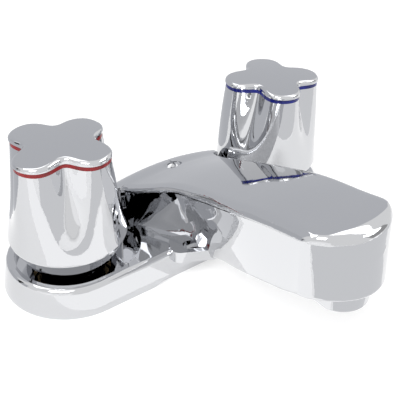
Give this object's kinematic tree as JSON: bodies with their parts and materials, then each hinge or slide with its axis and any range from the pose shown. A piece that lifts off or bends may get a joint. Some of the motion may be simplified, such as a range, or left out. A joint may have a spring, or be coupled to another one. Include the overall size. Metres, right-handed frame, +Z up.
{
  "type": "centerset basin faucet",
  "caption": "Two-handle centerset basin faucet: stadium base, low swept spout with aerator, fluted turning knobs with red and blue rings, threaded inlet shanks below.",
  "frame": {"origin": "on the deck plane under the base, midway between the two handle axes", "axes": "+X from the hot (red) side to the cold (blue) side, -Y along the spout towards the basin, +Z up out of the deck"},
  "size_m": [0.1554, 0.131, 0.1137],
  "materials": {
    "chrome_casting": "polished chrome plate",
    "chrome_handle": "polished chrome plate",
    "hot_index": "glossy red",
    "cold_index": "glossy navy blue",
    "black_rubber": "moulded",
    "black_plastic": "moulded",
    "brass": "machined",
    "ceramic": "lapped alumina",
    "steel_mesh": "etched",
    "steel_screw": "zinc plated"
  },
  "bodies": {
    "root": {"body_casting": "chrome_casting", "base_gasket": "black_rubber", "rod_hole_plug": "chrome_casting", "aerator_housing": "chrome_casting", "aerator_screen": "steel_mesh", "aerator_washer": "black_rubber", "hot_inlet_shank": "brass", "hot_mounting_washer": "black_plastic", "hot_mounting_nut": "brass", "hot_cartridge_housing": "brass", "hot_housing_oring": "black_rubber", "hot_bonnet_nut": "brass", "hot_seat_seal": "black_rubber", "hot_fixed_disc": "ceramic", "cold_inlet_shank": "brass", "cold_mounting_washer": "black_plastic", "cold_mounting_nut": "brass", "cold_cartridge_housing": "brass", "cold_housing_oring": "black_rubber", "cold_bonnet_nut": "brass", "cold_seat_seal": "black_rubber", "cold_fixed_disc": "ceramic"},
    "hot_knob": {"hot_handle": "chrome_handle", "hot_index_ring": "hot_index", "hot_handle_cap": "chrome_handle", "hot_handle_screw": "steel_screw", "hot_stem": "brass", "hot_stem_oring": "black_rubber", "hot_moving_disc": "ceramic"},
    "cold_knob": {"cold_handle": "chrome_handle", "cold_index_ring": "cold_index", "cold_handle_cap": "chrome_handle", "cold_handle_screw": "steel_screw", "cold_stem": "brass", "cold_stem_oring": "black_rubber", "cold_moving_disc": "ceramic"}
  },
  "joints": [
    {"name": "hot_turn", "type": "hinge", "parent": "root", "child": "hot_knob", "pos_m": [-0.0508, 0, 0.022], "axis": [0, 0, 1], "range_deg": [0, 90]},
    {"name": "cold_turn", "type": "hinge", "parent": "root", "child": "cold_knob", "pos_m": [0.0508, 0, 0.022], "axis": [0, 0, 1], "range_deg": [-90, 0]}
  ]
}
